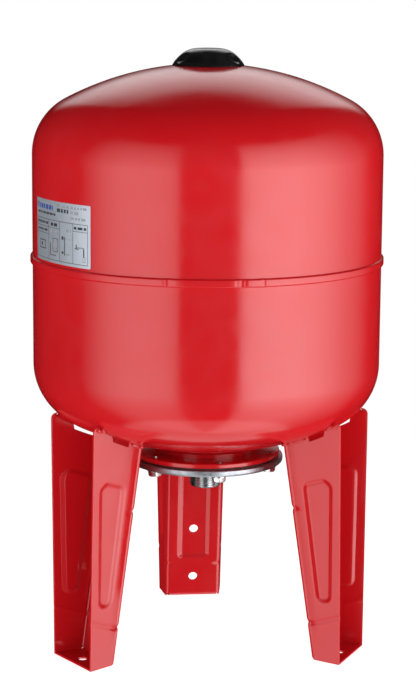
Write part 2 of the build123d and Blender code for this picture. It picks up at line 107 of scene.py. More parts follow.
# Legs: radii at the floor and the top, widths of the channel and places of its pressings
LEG_AZIMUTHS = {"front_left": -60.0, "front_right": 60.0, "rear": 180.0}
SHEET = 2.0
WEB_FLOOR_R = 136.5
WEB_SLOPE = 0.158
WEB_LENGTHEN = math.hypot(1, WEB_SLOPE)
WEB_HALF = 30.4
SPLAY = 0.155
FOLD_R = 4.0
FREE_R_FLOOR = 169.0
FREE_R_TOP = 167.5
LEG_TOP = 257.3
LEG_CORNER = 6.0
SLOTS = {"front_left": (120.0, 143.5), "front_right": (131.0, 148.5), "rear": (131.0, 148.5)}
SLOT_DEPTH = 4.5
FOOT_FOLD = 5.0
FOOT_GAP = 1.0
FOOT_HOLE_R = 156.0
HOLE_R = 5.0
WEB_HOLES = (24.1, 82.1)
RECESS_DEPTH = 2.4
FLANGE_RECESS = [(124.0, 188.5), (150.0, 197.0), (158.8, 190.5), (158.8, 65.5), (141.6, 62.5)]
FLANGE_CORNER = 8.0
WEB_RECESS = (17.7, 47.0, 196.0)
WEB_CORNER = 6.0
DARTS = ((39.5, 1.2), (160.0, 1.5))
CREASE_Z = 37.0
CURL_WIDTH = 14.0
HEAD_MEETS_LEG = 243.0
LOW_PART = 16.0
TOP_PART = 200.0
OUTER_RUN = (150.5, 163.0)
BEAD_SIZE = 1.9

# Bolts and washers
BOLT_CIRCLE = 70.5
BOLT_FIRST = 5.5
BOLT_COUNT = 6
BOLT_R = 4.0
BOLT_PITCH = 1.25
BOLT_THREAD_DEPTH = 0.62
BOLT_FLATS = 13.0
WASHER = (4.2, 8.0, 1.6)

# Label: azimuths and heights of its edges, its printed table and the table's inner lines
LABEL_SPAN = (-76.8, -44.6)
LABEL_HEIGHTS = (418.8, 481.2)
TABLE = (-76.0, -45.7, 421.7, 462.0)
TABLE_COLUMNS = (-66.4, -59.4, -52.5)

# Camera, in metres and degrees
CAMERA_AZIMUTH = -5.905
CAMERA_DISTANCE = 2.1598
CAMERA_HEIGHT = 0.7188
CAMERA_FORWARD = (0.10197, 0.97843, -0.17966)
CAMERA_ROLL = 0.42
CAMERA_LENS = 110.3

# Light from the surround as (angle in degrees, brightness), azimuths counted from the camera.
# Glossy surfaces see the boxes, the back screen and the ground; matt ones see an even room.
LEFT_BOX = [(-106, 0.0), (-84, 0.3), (-62, 0.84), (-46, 1.0), (-30, 0.93), (-18, 0.55), (-14, 0.0)]
RIGHT_BOX = [(16, 0.0), (22, 0.55), (32, 0.92), (48, 1.0), (70, 0.85), (88, 0.55), (112, 0.2), (140, 0.03)]
RIGHT_BOX += [(165, 0.0)]
BOX_HEIGHT = [(-90, 0.15), (-45, 0.5), (-25, 0.8), (-12, 1.0), (2, 0.78), (20, 0.56), (34, 0.28), (47, 0.0)]
BACK_BOX = [(-34, 0.0), (-19, 0.55), (-6, 1.0), (6, 1.0), (19, 0.7), (32, 0.0)]
BACK_HEIGHT = [(0, 0.0), (8, 0.15), (14, 0.5), (20, 0.88), (28, 1.0), (37, 0.85), (45, 0.5), (53, 0.0)]
GROUND_HEIGHT = [(-90, 1.0), (-66, 1.0), (-60, 0.5), (-55, 0.0)]
ROOM_HEIGHT = [(-90, 0.9), (-20, 1.0), (8, 1.0), (26, 0.72), (45, 0.2), (65, 0.04), (90, 0.03)]
ROOM_TURN = [(-180, 0.8), (-90, 0.84), (-20, 1.0), (50, 1.25), (100, 1.4), (140, 1.2), (180, 0.8)]
LEFT_STRENGTH = 3.4
RIGHT_STRENGTH = 5.6
BACK_STRENGTH = 1.75
GROUND_STRENGTH = 1.1
ROOM_STRENGTH = 1.5
FLOOR_GLOW = 0.85
FLOOR_R = 1100.0
FLOOR_FADE = (0.42, 1.0)


# ---------------------------------------------------------------- nodes and materials


class Nodes:
    """A node tree with short helpers; a value is a number, a colour or another node's output."""

    def __init__(self, tree):
        self.tree = tree

    def feed(self, socket, value):
        """Links an output to a socket, or sets the socket's own value."""
        if isinstance(value, bpy.types.NodeSocket):
            self.tree.links.new(value, socket)
        else:
            socket.default_value = (*value, 1.0) if socket.type == "RGBA" else value

    def add(self, kind, inputs=(), **settings):
        """A node with its settings; inputs gives the value of sockets by name or number."""
        node = self.tree.nodes.new(kind)
        for key, value in settings.items():
            setattr(node, key, value)
        for key, value in dict(inputs).items():
            self.feed(node.inputs[key], value)
        return node

    def step(self, operation, *values):
        """One maths step."""
        return self.add("ShaderNodeMath", enumerate(values), operation=operation).outputs["Value"]

    def blend(self, factor, first, second):
        """A shader between two shaders."""
        return self.add("ShaderNodeMixShader", {0: factor, 1: first, 2: second}).outputs["Shader"]


class Shader(Nodes):
    """A material built round its Principled shader."""

    def __init__(self, name):
        self.material = bpy.data.materials.new(name)
        self.material.use_nodes = True
        super().__init__(self.material.node_tree)
        self.bsdf = self.tree.nodes["Principled BSDF"]
        self.place = self.add("ShaderNodeTexCoord").outputs["Object"]

    def noise(self, scale, detail=3.0, roughness=0.5, vector=None):
        """Noise from 0 to 1; scale is features per metre."""
        inputs = {"Scale": scale, "Detail": detail, "Roughness": roughness, "Vector": vector or self.place}
        return self.add("ShaderNodeTexNoise", inputs).outputs["Fac"]

    def stretched(self, scale):
        """Coordinates scaled differently along each axis."""
        return self.add("ShaderNodeMapping", {"Scale": scale, "Vector": self.place}).outputs["Vector"]

    def ramp(self, value, low, high, start=0.0, end=1.0):
        """Maps value from start..end to low..high."""
        inputs = {"Value": value, "From Min": start, "From Max": end, "To Min": low, "To Max": high}
        return self.add("ShaderNodeMapRange", inputs, interpolation_type="SMOOTHSTEP").outputs["Result"]

    def mix(self, factor, first, second):
        """A colour between two colours."""
        return self.add("ShaderNodeMix", {0: factor, 6: first, 7: second}, data_type="RGBA").outputs[2]

    def bump(self, height, strength, distance, below=None):
        """A bump layer, on top of another if one is given."""
        inputs = {"Height": height, "Strength": strength, "Distance": distance}
        if below:
            inputs["Normal"] = below
        return self.add("ShaderNodeBump", inputs).outputs["Normal"]

    def finish(self, colour, roughness, **others):
        """Feeds the Principled shader; other sockets go by their names."""
        for name, value in {"Base Color": colour, "Roughness": roughness, **others}.items():
            self.feed(self.bsdf.inputs[name], value)
        return self.material


def enamel(name, light=1.0, peel=1.0):
    """Red stoving enamel: slight colour drift, orange peel and fine dust nibs."""
    shader = Shader(name)
    drift = shader.noise(7.0, 2.0)
    # light above 1 makes a lighter copy of the enamel, used as a painted highlight on the legs' cut edges
    deep = tuple(c * light for c in (0.5, 0.0065, 0.0105))
    bright = tuple(c * light for c in (0.56, 0.0085, 0.0125))
    colour = shader.mix(drift, deep, bright)
    specks = shader.ramp(shader.noise(1900.0, 1.0), 0.0, 0.35, 0.72, 0.8)
    colour = shader.mix(specks, colour, tuple(c * 0.7 for c in deep))
    roughness = shader.ramp(shader.noise(40.0, 4.0), 0.12, 0.19, 0.3, 0.7)
    normal = shader.bump(shader.noise(330.0, 2.0), 0.05 * peel, 0.0006)
    normal = shader.bump(shader.noise(1500.0, 1.0), 0.04, 0.0001, normal)
    return shader.finish(colour, roughness, Normal=normal, IOR=1.5)


def plated(name, colours, rough, grain_scale, grain=0.25):
    """Plated or turned metal with cloudy tone and fine tool grain."""
    shader = Shader(name)
    clouds = shader.noise(90.0, 5.0, 0.6)
    colour = shader.mix(shader.ramp(clouds, 0.0, 1.0, 0.3, 0.7), *colours)
    roughness = shader.ramp(shader.noise(220.0, 4.0), rough[0], rough[1], 0.3, 0.7)
    lines = shader.noise(1.0, 3.0, 0.6, shader.stretched(grain_scale))
    normal = shader.bump(lines, grain, 0.00008)
    return shader.finish(colour, roughness, Normal=normal, Metallic=1.0)


def turned_zinc(name):
    """Zinc plate over a lathe-turned face: faint rings round the axis and a satin cloud."""
    shader = Shader(name)
    clouds = shader.noise(60.0, 5.0, 0.6)
    colour = shader.mix(shader.ramp(clouds, 0.0, 1.0, 0.3, 0.7), (0.27, 0.29, 0.32), (0.37, 0.39, 0.42))
    roughness = shader.ramp(shader.noise(260.0, 4.0), 0.36, 0.5, 0.3, 0.7)
    inputs = {"Scale": 260.0, "Distortion": 1.5, "Detail": 2.0, "Vector": shader.place}
    rings = shader.add("ShaderNodeTexWave", inputs, wave_type="RINGS", rings_direction="Z")
    normal = shader.bump(rings.outputs["Fac"], 0.12, 0.00006)
    normal = shader.bump(shader.noise(900.0, 3.0), 0.12, 0.0001, normal)
    return shader.finish(colour, roughness, Normal=normal, Metallic=1.0)


def moulded(name, dark, pale, rough, skin_scale, skin_strength):
    """Moulded plastic or rubber with a fine skin texture."""
    shader = Shader(name)
    colour = shader.mix(shader.ramp(shader.noise(50.0, 4.0), 0.0, 1.0, 0.35, 0.7), dark, pale)
    roughness = shader.ramp(shader.noise(180.0, 4.0), rough[0], rough[1], 0.3, 0.7)
    normal = shader.bump(shader.noise(skin_scale, 2.0), skin_strength, 0.0001)
    normal = shader.bump(shader.noise(55.0, 2.0), 0.06, 0.0005, normal)
    return shader.finish(colour, roughness, Normal=normal)


def film(name, first, second, rough=(0.28, 0.4), metallic=0.0):
    """Printed label film: a slight tone drift and a faint paper-like grain."""
    shader = Shader(name)
    colour = shader.mix(shader.noise(120.0, 3.0), first, second)
    roughness = shader.ramp(shader.noise(300.0, 3.0), rough[0], rough[1], 0.3, 0.7)
    normal = shader.bump(shader.noise(2600.0, 2.0), 0.05, 0.00005)
    return shader.finish(colour, roughness, Normal=normal, Metallic=metallic)


def make_materials():
    """Every finish on the vessel, by the record's slot name where it has one."""
    return {
        "red_enamel": enamel("red_enamel"),
        # A lighter copy of the enamel: painted highlight along the legs' cut sheet edges
        "enamel_painted_edge_highlight": enamel("enamel_painted_edge_highlight", 1.15, 0.5),
        "zinc_plate": turned_zinc("zinc_plate"),
        "zinc_fastener": plated(
            "zinc_fastener",
            ((0.38, 0.39, 0.4), (0.55, 0.56, 0.57)),
            (0.2, 0.32),
            (700.0, 700.0, 2600.0),
            0.05,
        ),
        "brass": plated("brass", ((0.52, 0.36, 0.13), (0.7, 0.5, 0.2)), (0.2, 0.34), (500.0, 500.0, 5000.0)),
        "spring_steel": plated(
            "spring_steel", ((0.3, 0.3, 0.31), (0.45, 0.45, 0.46)), (0.25, 0.38), (6000.0, 6000.0, 6000.0)
        ),
        "black_rubber": moulded(
            "black_rubber", (0.012, 0.012, 0.012), (0.03, 0.03, 0.029), (0.5, 0.7), 2200.0, 0.3
        ),
        "black_plastic": moulded(
            "black_plastic", (0.006, 0.006, 0.0065), (0.014, 0.014, 0.015), (0.14, 0.26), 1500.0, 0.06
        ),
        "label_film": film("label_film", (0.62, 0.67, 0.75), (0.72, 0.77, 0.85), (0.5, 0.58), 0.85),
        "ink_dark": film("ink_dark", (0.02, 0.022, 0.03), (0.05, 0.05, 0.06), (0.4, 0.5)),
        "ink_grey": film("ink_grey", (0.22, 0.23, 0.25), (0.32, 0.33, 0.35), (0.4, 0.5)),
        "ink_blue": film("ink_blue", (0.02, 0.05, 0.24), (0.04, 0.09, 0.34), (0.4, 0.5)),
    }


# ---------------------------------------------------------------- mesh helpers


def new_piece(name, points, faces, materials, smooth_angle=40.0, tags=None):
    """A mesh object in metres from millimetre points; tags give each face's material."""
    mesh = bpy.data.meshes.new(name)
    mesh.from_pydata([tuple(c * MM for c in p) for p in points], [], faces)
    for material in materials:
        mesh.materials.append(material)
    if tags is not None:
        mesh.polygons.foreach_set("material_index", tags)
    mesh.validate()
    mesh.polygons.foreach_set("use_smooth", [True] * len(mesh.polygons))
    mesh.set_sharp_from_angle(angle=math.radians(smooth_angle))
    piece = bpy.data.objects.new(name, mesh)
    bpy.context.scene.collection.objects.link(piece)
    return piece


def settle(piece, body, slot, *replaced):
    """Puts a finished piece on its body and hides the CAD nodes that it replaces."""
    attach(piece, body)
    if replaced:
        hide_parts(*replaced)
    return piece


def ring_faces(rows, columns, close_rows, offset=0):
    """Quads of a grid whose columns close on themselves, and rows too if asked."""
    faces = []
    for i in range(rows if close_rows else rows - 1):
        below = offset + i * columns
        above = offset + ((i + 1) % rows) * columns
        for j in range(columns):
            k = (j + 1) % columns
            faces.append((below + j, below + k, above + k, above + j))
    return faces


def sheet_faces(rows, columns, offset=0, skip=()):
    """Quads of an open grid, without the cells in skip."""
    faces = []
    for i in range(rows - 1):
        for j in range(columns - 1):
            if (i, j) not in skip:
                a = offset + i * columns + j
                faces.append((a, a + 1, a + columns + 1, a + columns))
    return faces


def polar(radius, azimuth, height):
    """A point at an azimuth counted from -Y, positive towards +X."""
    angle = math.radians(azimuth)
    return (radius * math.sin(angle), -radius * math.cos(angle), height)


def lathe(name, outline, segments, materials, shape=None, smooth_angle=40.0):
    """A ring turned from a closed (r, z) outline; shape may move each (r, azimuth, z)."""
    points = []
    for r, z in outline:
        for j in range(segments):
            azimuth = 360.0 * j / segments
            points.append(polar(*(shape(r, azimuth, z) if shape else (r, azimuth, z))))
    return new_piece(name, points, ring_faces(len(outline), segments, True), materials, smooth_angle)


def rounded(points, radius, steps=4):
    """A closed (r, z) outline with every corner rounded; radius may be a list."""
    radii = radius if isinstance(radius, (list, tuple)) else [radius] * len(points)
    outline = []
    for i, corner in enumerate(points):
        corner = Vector(corner)
        if not radii[i]:
            outline.append(tuple(corner))
            continue
        before = (Vector(points[i - 1]) - corner).normalized()
        after = (Vector(points[(i + 1) % len(points)]) - corner).normalized()
        half = before.angle(after) / 2
        reach = radii[i] / math.tan(half)
        for k in range(steps + 1):
            t = k / steps
            a = corner + before * reach
            b = corner + after * reach
            outline.append(tuple(a * (1 - t) ** 2 + corner * 2 * t * (1 - t) + b * t**2))
    return outline


def spread(stops, step):
    """Numbers from the first stop to the last that hit every stop, at most a step apart."""
    values = [stops[0]]
    for low, high in zip(stops, stops[1:]):
        count = max(1, math.ceil(abs(high - low) / step - 1e-6))
        values += [low + (high - low) * (k + 1) / count for k in range(count)]
    return values


def smoothstep(low, high, value):
    """0 up to low, 1 from high on, and smooth between."""
    t = min(max((value - low) / (high - low), 0.0), 1.0)
    return t * t * (3 - 2 * t)


def wobble(x, y, z, scale):
    """Smooth noise between about -1 and 1."""
    return noise.noise(Vector((x, y, z)) * scale)


# ---------------------------------------------------------------- pressure shell


def head_curve(radius, head, inset, end_r, knuckle_steps=26, crown_steps=44):
    """(r, z) points of a dished head from its tangent line in to end_r."""
    tangent_z, knuckle, crown, side = head
    centre_r = radius - knuckle
    crown_z = tangent_z - side * math.sqrt((crown - knuckle) ** 2 - centre_r**2)
    join = math.asin(centre_r / (crown - knuckle))
    swing = math.pi / 2 - join
    points = []
    for k in range(knuckle_steps + 1):
        a = swing * k / knuckle_steps
        r = centre_r + (knuckle - inset) * math.cos(a)
        points.append((r, tangent_z + side * (knuckle - inset) * math.sin(a)))
    stop = math.asin(end_r / (crown - inset))
    for k in range(1, crown_steps + 1):
        a = join + (stop - join) * k / crown_steps
        r = (crown - inset) * math.sin(a)
        points.append((r, crown_z + side * (crown - inset) * math.cos(a)))
    return points


def head_height(r, grow=0.0):
    """Height of the lower head's outer surface, moved outwards by grow, at a radius."""
    tangent_z, knuckle, crown, side = BOTTOM_HEAD
    centre_r = SHELL_R - knuckle
    crown_z = tangent_z + math.sqrt((crown - knuckle) ** 2 - centre_r**2)
    join_r = centre_r + (knuckle + grow) * math.cos(math.pi / 2 - math.asin(centre_r / (crown - knuckle)))
    if r <= join_r:
        return crown_z - math.sqrt((crown + grow) ** 2 - r * r)
    return tangent_z - math.sqrt(max((knuckle + grow) ** 2 - (r - centre_r) ** 2, 0.0))


def drawn_wave(r, azimuth, z):
    """The slight waviness of drawn sheet, always inwards."""
    x, y, _ = polar(1.0, azimuth, 0.0)
    depth = 0.1 * (1 + wobble(x * 2.2, y * 2.2, z * 0.012, 1.0))
    return (r - depth * smoothstep(20.0, 120.0, r), azimuth, z)


def make_shells(materials):
    """Both drawn halves, with their wall thickness."""
    plan = (
        ("upper_shell", TOP_HEAD, SEAM_TOP, TOP_HOLE_R),
        ("lower_shell", BOTTOM_HEAD, SEAM_BOTTOM, NECK_R),
    )
    for name, head, seam, hole in plan:
        wall = [(SHELL_R, z) for z in spread([seam, head[0]], 6.0)][:-1]
        outer = wall + head_curve(SHELL_R, head, 0.0, hole)
        inner_wall = [(SHELL_R - SHELL_WALL, z) for _, z in wall]
        inner = inner_wall + head_curve(SHELL_R, head, SHELL_WALL, hole, 12, 16)
        piece = lathe(name + "_drawn", outer + inner[::-1], 288, [materials["red_enamel"]], drawn_wave)
        settle(piece, "vessel", "red_enamel", name)


# Azimuth and width, in degrees, of the lumps where the girth weld starts and stops
WELD_MARKS = ((-17.5, 2.6), (4.6, 3.4), (11.5, 1.6), (96.0, 3.0), (181.0, 2.4))


def bead_shape(r, azimuth, z):
    """Uneven edges of the girth bead, and lumps where the weld starts and stops."""
    if r < SHELL_R + 0.05:
        return (r, azimuth, z)
    x, y, _ = polar(1.0, azimuth, 0.0)
    edge = 0.16 * wobble(x, y, z * 0.2, 26.0) + 0.1 * wobble(x, y, z * 0.2, 70.0)
    middle = (BEAD_LOW + BEAD_HIGH) / 2
    lump = 0.0
    for place, width in WELD_MARKS:
        away = (azimuth - place + 180.0) % 360.0 - 180.0
        lump += math.exp(-((away / (width * 0.5)) ** 2)) * (0.6 + 0.4 * math.cos(away * 5.0))
    proud = r - SHELL_R
    height = proud * (1 - 0.35 * min(lump, 1.0)) + 0.05 * wobble(x, y, 0.0, 110.0)
    stretch = 1 + 0.10 * min(lump, 1.0) + edge * 0.1
    return (SHELL_R + min(height, BEAD_R - SHELL_R), azimuth, middle + (z - middle) * stretch)


def make_girth_weld(materials):
    """The rolled joint between the halves."""
    low = BEAD_LOW + 0.5
    high = BEAD_HIGH - 0.5
    crest = BEAD_R - 0.05
    corners = []
    for end, towards in ((low, 1), (high, -1)):
        edge = [(SHELL_R - SHELL_WALL, end + 3 * towards), (SHELL_R - 0.2, end), (SHELL_R + 0.3, end)]
        edge.append((crest, end + 1.2 * towards))
        corners += edge[::towards]
    outline = rounded(corners, [0, 0, 0.1, 1.1, 1.1, 0.1, 0, 0], 5)
    piece = lathe("girth_bead", outline, 720, [materials["red_enamel"]], bead_shape, 60.0)
    settle(piece, "vessel", "red_enamel", "girth_weld")


# ---------------------------------------------------------------- legs


def web_r(z):
    """Radius of the web's outside at a height."""
    return WEB_FLOOR_R - WEB_SLOPE * z


def free_w(z):
    """Depth of the channel, square to its web, at a height."""
    edge = FREE_R_FLOOR + (FREE_R_TOP - FREE_R_FLOOR) * z / LEG_TOP
    above = z - (LEG_TOP - LEG_CORNER)
    if above > 0:
        edge -= LEG_CORNER - math.sqrt(max(LEG_CORNER**2 - above**2, 0.0))
    return (edge - web_r(z)) / WEB_LENGTHEN


def fold_arc():
    """Centre and end angles of the fold between web and flange, in (w, t)."""
    lean = math.atan(SPLAY)
    turn = math.pi / 2 - lean
    reach = FOLD_R * math.tan(turn / 2)
    return lean, turn, WEB_HALF - reach, reach


def section_point(part, u, z):
    """(w, t, inward normal) on the channel's outside for the +t half."""
    lean, turn, flat_t, reach = fold_arc()
    if part == "web":
        return 0.0, flat_t * u, (1.0, 0.0)
    if part == "fold":
        a = turn * u
        return FOLD_R * (1 - math.cos(a)), flat_t + FOLD_R * math.sin(a), (math.cos(a), -math.sin(a))
    start_w = FOLD_R * (1 - math.cos(turn))
    w = start_w + (free_w(z) - start_w) * u
    return w, WEB_HALF + SPLAY * w, (math.sin(lean), -math.cos(lean))


def polygon_distance(point, outline):
    """Signed distance to a polygon, negative inside."""
    p = Vector(point)
    nearest = 1e9
    inside = False
    for a, b in zip(outline, outline[1:] + outline[:1]):
        a = Vector(a)
        b = Vector(b)
        along = b - a
        t = min(max((p - a).dot(along) / along.length_squared, 0.0), 1.0)
        nearest = min(nearest, (p - a - along * t).length)
        if (a.y > p.y) != (b.y > p.y) and p.x < a.x + along.x * (p.y - a.y) / along.y:
            inside = not inside
    return -nearest if inside else nearest


def shrunk(outline, margin):
    """A convex outline with every side moved in by a margin."""
    middle = sum((Vector(p) for p in outline), Vector((0, 0))) / len(outline)
    sides = []
    for a, b in zip(outline, outline[1:] + outline[:1]):
        a = Vector(a)
        along = (Vector(b) - a).normalized()
        normal = Vector((-along.y, along.x))
        if normal.dot(middle - a) < 0:
            normal = -normal
        sides.append((a + normal * margin, along))
    inner = []
    for (a, d), (b, e) in zip([sides[-1]] + sides[:-1], sides):
        cross = d.x * e.y - d.y * e.x
        t = ((b - a).x * e.y - (b - a).y * e.x) / cross
        inner.append(tuple(a + d * t))
    return inner


FLANGE_CORE = shrunk(FLANGE_RECESS, FLANGE_CORNER)


def recess_depth(part, w, t, r, z):
    """How far the pressings, the curl and the crease push the sheet into the channel."""
    depth = 0.0
    if part == "flange":
        if 60 < z < TOP_PART:
            distance = polygon_distance((r, z), FLANGE_CORE) - FLANGE_CORNER
            depth = RECESS_DEPTH * smoothstep(1.0, -4.6, distance)
        past_web = r - web_r(z)
        depth += 0.7 * smoothstep(CURL_WIDTH, -2.0, past_web) * smoothstep(12.0, 40.0, z)
        from_crease = (z - CREASE_Z - past_web * 0.35) / 2.2
        depth += 0.6 * math.exp(-(from_crease**2)) * smoothstep(14.0, 26.0, z)
    if part == "web":
        half, low, high = WEB_RECESS
        a = abs(t) - (half - WEB_CORNER)
        b = abs(z - (low + high) / 2) - ((high - low) / 2 - WEB_CORNER)
        distance = math.hypot(max(a, 0), max(b, 0)) + min(max(a, b), 0) - WEB_CORNER
        depth = RECESS_DEPTH * smoothstep(1.0, -5.0, distance)
    from_fold = math.hypot(w, WEB_HALF - abs(t))
    for height, size in DARTS:
        depth += size * math.exp(-(((z - height) / 2.0) ** 2) - (from_fold / 6.5) ** 2)
    return depth


def leg_columns(slot):
    """The channel's outside from one free edge round to the other: (part, u, side)."""
    inner = section_point("flange", 0.0, HEAD_MEETS_LEG)[0]
    width = free_w(HEAD_MEETS_LEG) - inner
    stops = [0.0]
    for r in slot:
        share = ((r - web_r(HEAD_MEETS_LEG)) / WEB_LENGTHEN - inner) / width
        stops += [share - 0.003, share + 0.003]
    flange = spread(stops + [1.0], 0.0175)[1:]
    fold = [k / 8 for k in range(9)]
    web = [k / 27 for k in range(27)]
    half = [("web", u, 1) for u in web] + [("fold", u, 1) for u in fold] + [("flange", u, 1) for u in flange]
    other = [(part, u, -1) for part, u, _ in half[1:]]
    return other[::-1] + half


def line_top(part, u, slot):
    """Height where one line of the sheet ends, under the head, in the slot or at the top."""
    z = HEAD_MEETS_LEG
    for _ in range(24):
        w, t, _ = section_point(part, u, z)
        r = web_r(z) + w * WEB_LENGTHEN
        across = math.hypot(r, t)
        in_slot = slot[0] < r < slot[1] and part == "flange"
        z = min(head_height(across, SLOT_DEPTH if in_slot else 0.0), LEG_TOP)
    return z


def punch(grid, row, column, half, radius):
    """Turns a square block of a grid into a round hole; returns the cells to leave out."""
    block = grid[row - half : row + half + 1, column - half : column + half + 1]
    centre = block[half, half].copy()
    across = block[half, -1] - block[half, 0]
    up = block[-1, half] - block[0, half]
    across /= np.linalg.norm(across)
    up /= np.linalg.norm(up)
    kept = block.copy()
    ring = half // 2
    for a in range(-half, half + 1):
        for b in range(-half, half + 1):
            reach = max(abs(a), abs(b))
            if reach < ring or reach == half:
                continue
            angle = math.atan2(a, b)
            circle = centre + radius * (across * math.cos(angle) + up * math.sin(angle))
            t = (reach - ring) / (half - ring)
            block[a + half, b + half] = circle * (1 - t) + kept[a + half, b + half] * t
    cells = range(-ring, ring)
    return {(row + a, column + b) for a in cells for b in cells}


def foot_path():
    """Outside of the foot's fold and plate as (r, z), from the web out to the edge."""
    lean = math.atan(WEB_SLOPE)
    turn = math.pi / 2 - lean
    reach = FOOT_FOLD * math.tan(turn / 2)
    start = Vector((WEB_FLOOR_R - WEB_SLOPE * reach / WEB_LENGTHEN, reach / WEB_LENGTHEN))
    centre = Vector((WEB_FLOOR_R + reach, FOOT_FOLD))
    path = []
    for k in range(9):
        a = turn * k / 8
        out = Vector((math.cos(lean + a), math.sin(lean + a)))
        path.append((centre.x - out.x * FOOT_FOLD, centre.y - out.y * FOOT_FOLD))
    flat = spread([centre.x, FOOT_HOLE_R - 8, FOOT_HOLE_R + 8, FREE_R_FLOOR], 1.0)[1:]
    return start, path + [(r, 0.0) for r in flat]


def make_leg_mesh(slot):
    """Points and faces of one leg standing on +Y, its outside only."""
    start, path = foot_path()
    columns = leg_columns(slot)
    holes = [h for height in WEB_HOLES for h in (height - 8, height, height + 8)]
    low_rows = spread([start.y] + holes + [TOP_PART], 1.15)
    top_rows = 40
    grid = np.zeros((len(low_rows) + top_rows, len(columns), 3))
    for j, (part, u, side) in enumerate(columns):
        top = line_top(part, u, slot)
        floor = {"web": start.y, "fold": start.y * (1 - u), "flange": 0.0}[part]
        for i in range(grid.shape[0]):
            if i < len(low_rows):
                z = low_rows[i]
                if z < LOW_PART:
                    z = floor + (z - start.y) * (LOW_PART - floor) / (LOW_PART - start.y)
            else:
                v = (i - len(low_rows) + 1) / top_rows
                z = TOP_PART + (top - TOP_PART) * (1 - (1 - v) ** 1.4)
            w, t, normal = section_point(part, u, z)
            r = web_r(z) + w * WEB_LENGTHEN
            depth = recess_depth(part, w, t, r, z)
            w += normal[0] * depth
            t += normal[1] * depth
            r = web_r(z) + w * WEB_LENGTHEN
            grid[i, j] = (side * t, r, z)
    middle = len(columns) // 2
    skip = set()
    for height in WEB_HOLES:
        row = min(range(len(low_rows)), key=lambda k: abs(low_rows[k] - height))
        skip |= punch(grid, row, middle, 8, HOLE_R)
    points = [tuple(p) for p in grid.reshape(-1, 3)]
    faces = sheet_faces(grid.shape[0], grid.shape[1], 0, skip)
    web_columns = [j for j, c in enumerate(columns) if c[0] == "web" or (c[0] == "fold" and c[1] == 0.0)]
    foot = np.zeros((len(path), len(web_columns), 3))
    flat_t = fold_arc()[2]
    for i, (r, z) in enumerate(path):
        w = (r - web_r(z)) / WEB_LENGTHEN
        inside = WEB_HALF + SPLAY * max(w, 0.0) - SHEET * math.hypot(1, SPLAY) - FOOT_GAP
        half = flat_t + (inside - flat_t) * smoothstep(1.0, 6.0, w)
        for k in range(len(web_columns)):
            foot[i, k] = (half * (2 * k / (len(web_columns) - 1) - 1), r, z)
    row = min(range(len(path)), key=lambda k: abs(path[k][0] - FOOT_HOLE_R) + path[k][1])
    gone = punch(foot, row, len(web_columns) // 2, 8, HOLE_R)
    offset = len(points)
    points += [tuple(p) for p in foot.reshape(-1, 3)]
    faces += [f[::-1] for f in sheet_faces(len(path), len(web_columns), offset, gone)]
    return points, faces, columns, grid[-1]


def turn_to(azimuth):
    """A turn about Z from +Y to an azimuth counted from -Y."""
    return Matrix.Rotation(math.radians(azimuth - 180.0), 4, "Z")


def apply_modifiers(piece):
    """Bakes a piece's modifiers into its mesh."""
    bpy.context.view_layer.update()
    graph = bpy.context.evaluated_depsgraph_get()
    mesh = bpy.data.meshes.new_from_object(piece.evaluated_get(graph))
    piece.modifiers.clear()
    piece.data = mesh
    return piece


def weld_bead(name, path, materials, seed):
    """A rippled bead along a path of (point, outward direction) in millimetres."""
    rng = random.Random(seed)
    line = [Vector(p) for p, _ in path]
    phase = rng.uniform(0, 6.0)
    travelled = 0.0
    points = []
    sides = 12
    for i, (p, out) in enumerate(path):
        if i:
            travelled += (line[i] - line[i - 1]).length
        along = (line[min(i + 1, len(line) - 1)] - line[max(i - 1, 0)]).normalized()
        out = (Vector(out) - along * Vector(out).dot(along)).normalized()
        up = along.cross(out)
        ends = min(i, len(path) - 1 - i) / 3.0
        swell = math.sqrt(min(ends, 1.0)) * (1 - (1 - min(ends, 1.0)) * 0.5)
        ripple = 1 + 0.09 * math.sin(travelled * 3.6 + phase)
        ripple += 0.22 * wobble(p[0] * 0.25, p[1] * 0.25, p[2] * 0.25 + seed, 1.0)
        radius = max(BEAD_SIZE * swell * ripple, 0.12)
        for k in range(sides):
            a = math.tau * k / sides
            points.append(line[i] + (out * math.cos(a) + up * math.sin(a)) * radius)
    faces = ring_faces(len(path), sides, False)
    faces.append(tuple(range(sides))[::-1])
    faces.append(tuple(len(points) - sides + k for k in range(sides)))
    return new_piece(name, points, faces, [materials["red_enamel"]], 70.0)


def joined(name, pieces):
    """One object from several meshes."""
    whole = bmesh.new()
    for piece in pieces:
        whole.from_mesh(piece.data)
    mesh = pieces[0].data.copy()
    whole.to_mesh(mesh)
    whole.free()
    for piece in pieces:
        bpy.data.objects.remove(piece)
    result = bpy.data.objects.new(name, mesh)
    mesh.name = name
    bpy.context.scene.collection.objects.link(result)
    return result


def leg_bead_paths(columns, tops, slot):
    """Where the weld runs lie: round the web's top, and by each free edge."""
    runs = {"inner": [], "left": [], "right": []}
    for j, (part, u, side) in enumerate(columns):
        point = tops[j]
        w, t, normal = section_point(part, u, point[2])
        out = (-side * normal[1], -normal[0], -0.35)
        centre = (point[0] + out[0] * 0.5, point[1] + out[1] * 0.5, point[2] - 0.7)
        if part != "flange" or point[1] < slot[0] - 2.0:
            runs["inner"].append((centre, out))
        elif OUTER_RUN[0] < point[1] < OUTER_RUN[1]:
            runs["right" if side > 0 else "left"].append((centre, out))
    return runs


